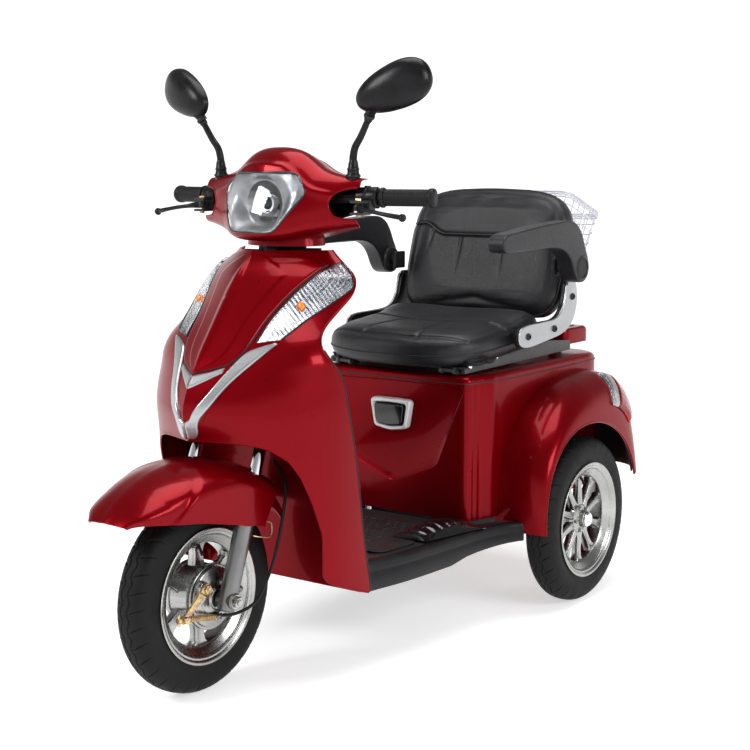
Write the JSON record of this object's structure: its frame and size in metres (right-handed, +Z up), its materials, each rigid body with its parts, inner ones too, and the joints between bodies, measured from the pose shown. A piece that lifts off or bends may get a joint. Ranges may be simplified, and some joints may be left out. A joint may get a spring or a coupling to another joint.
{
  "type": "three-wheel mobility scooter",
  "caption": "Seated electric mobility scooter with a front fork and two rear wheels, a leg shield, a padded seat with flip-up arms and a wire basket.",
  "frame": {"origin": "on the ground under the centre of the bounding box", "axes": "+Z up, the scooter drives towards -Y, the rider's left is +X"},
  "size_m": [0.72, 1.6641, 1.2689],
  "materials": {
    "tyre": "matte rubber",
    "alloy": "polished",
    "fork": "satin grey",
    "dark_steel": "black powder coat",
    "zinc": "yellow zinc plate",
    "black_rubber": "matte",
    "red_paint": "metallic candy red",
    "black_plastic": "grained",
    "black_gloss": "gloss",
    "clear_lens": "clear",
    "chrome": "mirror",
    "silver": "satin silver",
    "leather": "grained black",
    "white_wire": "plastic-coated wire"
  },
  "bodies": {
    "chassis": {"chassis_frame": "dark_steel", "rear_axle_unit": "dark_steel", "battery_pack": "black_plastic", "leg_shield": "red_paint", "nose_panel": "red_paint", "v_trim": "silver", "chevron_trim": "silver", "turn_lens_left": "clear_lens", "turn_lens_right": "clear_lens", "inner_panel": "black_plastic", "splash_guard": "red_paint", "floorboard": "black_plastic", "floor_mat": "black_rubber", "foot_step_left": "black_gloss", "foot_step_right": "black_gloss", "rear_body": "red_paint", "tail_light_left": "clear_lens", "tail_light_right": "clear_lens", "latch_frame": "chrome", "rear_carrier": "red_paint", "seat_hinge_left": "dark_steel", "seat_hinge_right": "dark_steel"},
    "steering": {"steering_stem": "dark_steel", "handlebar": "dark_steel", "grip_left": "black_rubber", "control_pod_left": "black_plastic", "control_pod_right": "black_plastic", "handlebar_cowl": "red_paint", "headlight_lens": "clear_lens", "headlight_reflector": "chrome", "dash_panel": "black_plastic"},
    "throttle": {"throttle_grip": "black_rubber"},
    "lever_left": {"brake_lever_left": "black_plastic"},
    "lever_right": {"brake_lever_right": "black_plastic"},
    "mirror_arm_l": {"mirror_arm_left": "black_plastic"},
    "mirror_head_l": {"mirror_head_left": "black_gloss"},
    "mirror_arm_r": {"mirror_arm_right": "black_plastic"},
    "mirror_head_r": {"mirror_head_right": "black_gloss"},
    "fork_lowers": {"fork_slider_left": "fork", "fork_slider_right": "fork", "front_axle": "dark_steel", "brake_plate": "alloy", "brake_cable": "black_rubber", "front_fender": "red_paint"},
    "drum_arm": {"brake_arm": "zinc"},
    "front_wheel": {"front_tyre": "tyre", "front_rim": "alloy"},
    "rear_wheel_l": {"rear_tyre_left": "tyre", "rear_rim_left": "alloy"},
    "rear_wheel_r": {"rear_tyre_right": "tyre", "rear_rim_right": "alloy"},
    "latch": {"latch_paddle": "black_gloss"},
    "seat": {"seat_base": "dark_steel", "seat_cushion": "leather", "seat_back": "leather", "side_plate_left": "silver", "side_plate_right": "silver", "basket": "white_wire"},
    "arm_l": {"armrest_left": "black_plastic"},
    "arm_r": {"armrest_right": "black_plastic"}
  },
  "joints": [
    {"name": "steering_turn", "type": "hinge", "parent": "chassis", "child": "steering", "pos_m": [0, -0.59, 0.202], "axis": [0, 0.342, 0.9397], "range_deg": [-28, 28]},
    {"name": "front_suspension", "type": "slide", "parent": "steering", "child": "fork_lowers", "axis": [0, 0.342, 0.9397], "range_m": [0, 0.035], "stiffness_N_per_m": 14000, "springref_m": -0.03},
    {"name": "front_wheel_spin", "type": "hinge", "parent": "fork_lowers", "child": "front_wheel", "pos_m": [0, -0.59, 0.202], "axis": [1, 0, 0], "continuous": true},
    {"name": "rear_wheel_spin_left", "type": "hinge", "parent": "chassis", "child": "rear_wheel_l", "pos_m": [0.317, 0.431, 0.202], "axis": [1, 0, 0], "continuous": true},
    {"name": "rear_wheel_spin_right", "type": "hinge", "parent": "chassis", "child": "rear_wheel_r", "pos_m": [-0.317, 0.431, 0.202], "axis": [1, 0, 0], "continuous": true},
    {"name": "throttle_twist", "type": "hinge", "parent": "steering", "child": "throttle", "pos_m": [-0.237, -0.2772, 0.994], "axis": [-0.9638, 0.2666, 0], "range_deg": [0, 70], "stiffness_Nm_per_rad": 0.4},
    {"name": "brake_lever_left_pull", "type": "hinge", "parent": "steering", "child": "lever_left", "pos_m": [0.212, -0.322, 0.974], "axis": [0, 0, 1], "range_deg": [0, 18], "stiffness_Nm_per_rad": 2},
    {"name": "brake_lever_right_pull", "type": "hinge", "parent": "steering", "child": "lever_right", "pos_m": [-0.212, -0.322, 0.974], "axis": [0, 0, -1], "range_deg": [0, 18], "stiffness_Nm_per_rad": 2},
    {"name": "drum_arm_pull", "type": "hinge", "parent": "fork_lowers", "child": "drum_arm", "pos_m": [0.06, -0.634, 0.232], "axis": [1, 0, 0], "range_deg": [0, 12]},
    {"name": "mirror_swivel_left", "type": "hinge", "parent": "steering", "child": "mirror_arm_l", "pos_m": [0.179, -0.295, 1.036], "axis": [0, 0, 1], "range_deg": [-20, 35]},
    {"name": "mirror_swivel_right", "type": "hinge", "parent": "steering", "child": "mirror_arm_r", "pos_m": [-0.179, -0.295, 1.036], "axis": [0, 0, -1], "range_deg": [-20, 35]},
    {"name": "mirror_tilt_left", "type": "hinge", "parent": "mirror_arm_l", "child": "mirror_head_l", "pos_m": [0.222, -0.302, 1.15], "axis": [1, 0, 0], "range_deg": [-12, 12]},
    {"name": "mirror_tilt_right", "type": "hinge", "parent": "mirror_arm_r", "child": "mirror_head_r", "pos_m": [-0.222, -0.302, 1.15], "axis": [1, 0, 0], "range_deg": [-12, 12]},
    {"name": "latch_pull", "type": "hinge", "parent": "chassis", "child": "latch", "pos_m": [0, 0.085, 0.496], "axis": [-1, 0, 0], "range_deg": [0, 30], "stiffness_Nm_per_rad": 0.2},
    {"name": "seat_flip", "type": "hinge", "parent": "chassis", "child": "seat", "pos_m": [0, 0.11, 0.59], "axis": [1, 0, 0], "range_deg": [0, 45]},
    {"name": "armrest_left_flip", "type": "hinge", "parent": "seat", "child": "arm_l", "pos_m": [0.284, 0.462, 0.812], "axis": [-1, 0, 0], "range_deg": [0, 95]},
    {"name": "armrest_right_flip", "type": "hinge", "parent": "seat", "child": "arm_r", "pos_m": [-0.284, 0.462, 0.812], "axis": [-1, 0, 0], "range_deg": [0, 95]}
  ],
  "couplings": [
    {"joint": "drum_arm_pull", "follows": "brake_lever_right_pull", "ratio": 0.6}
  ]
}
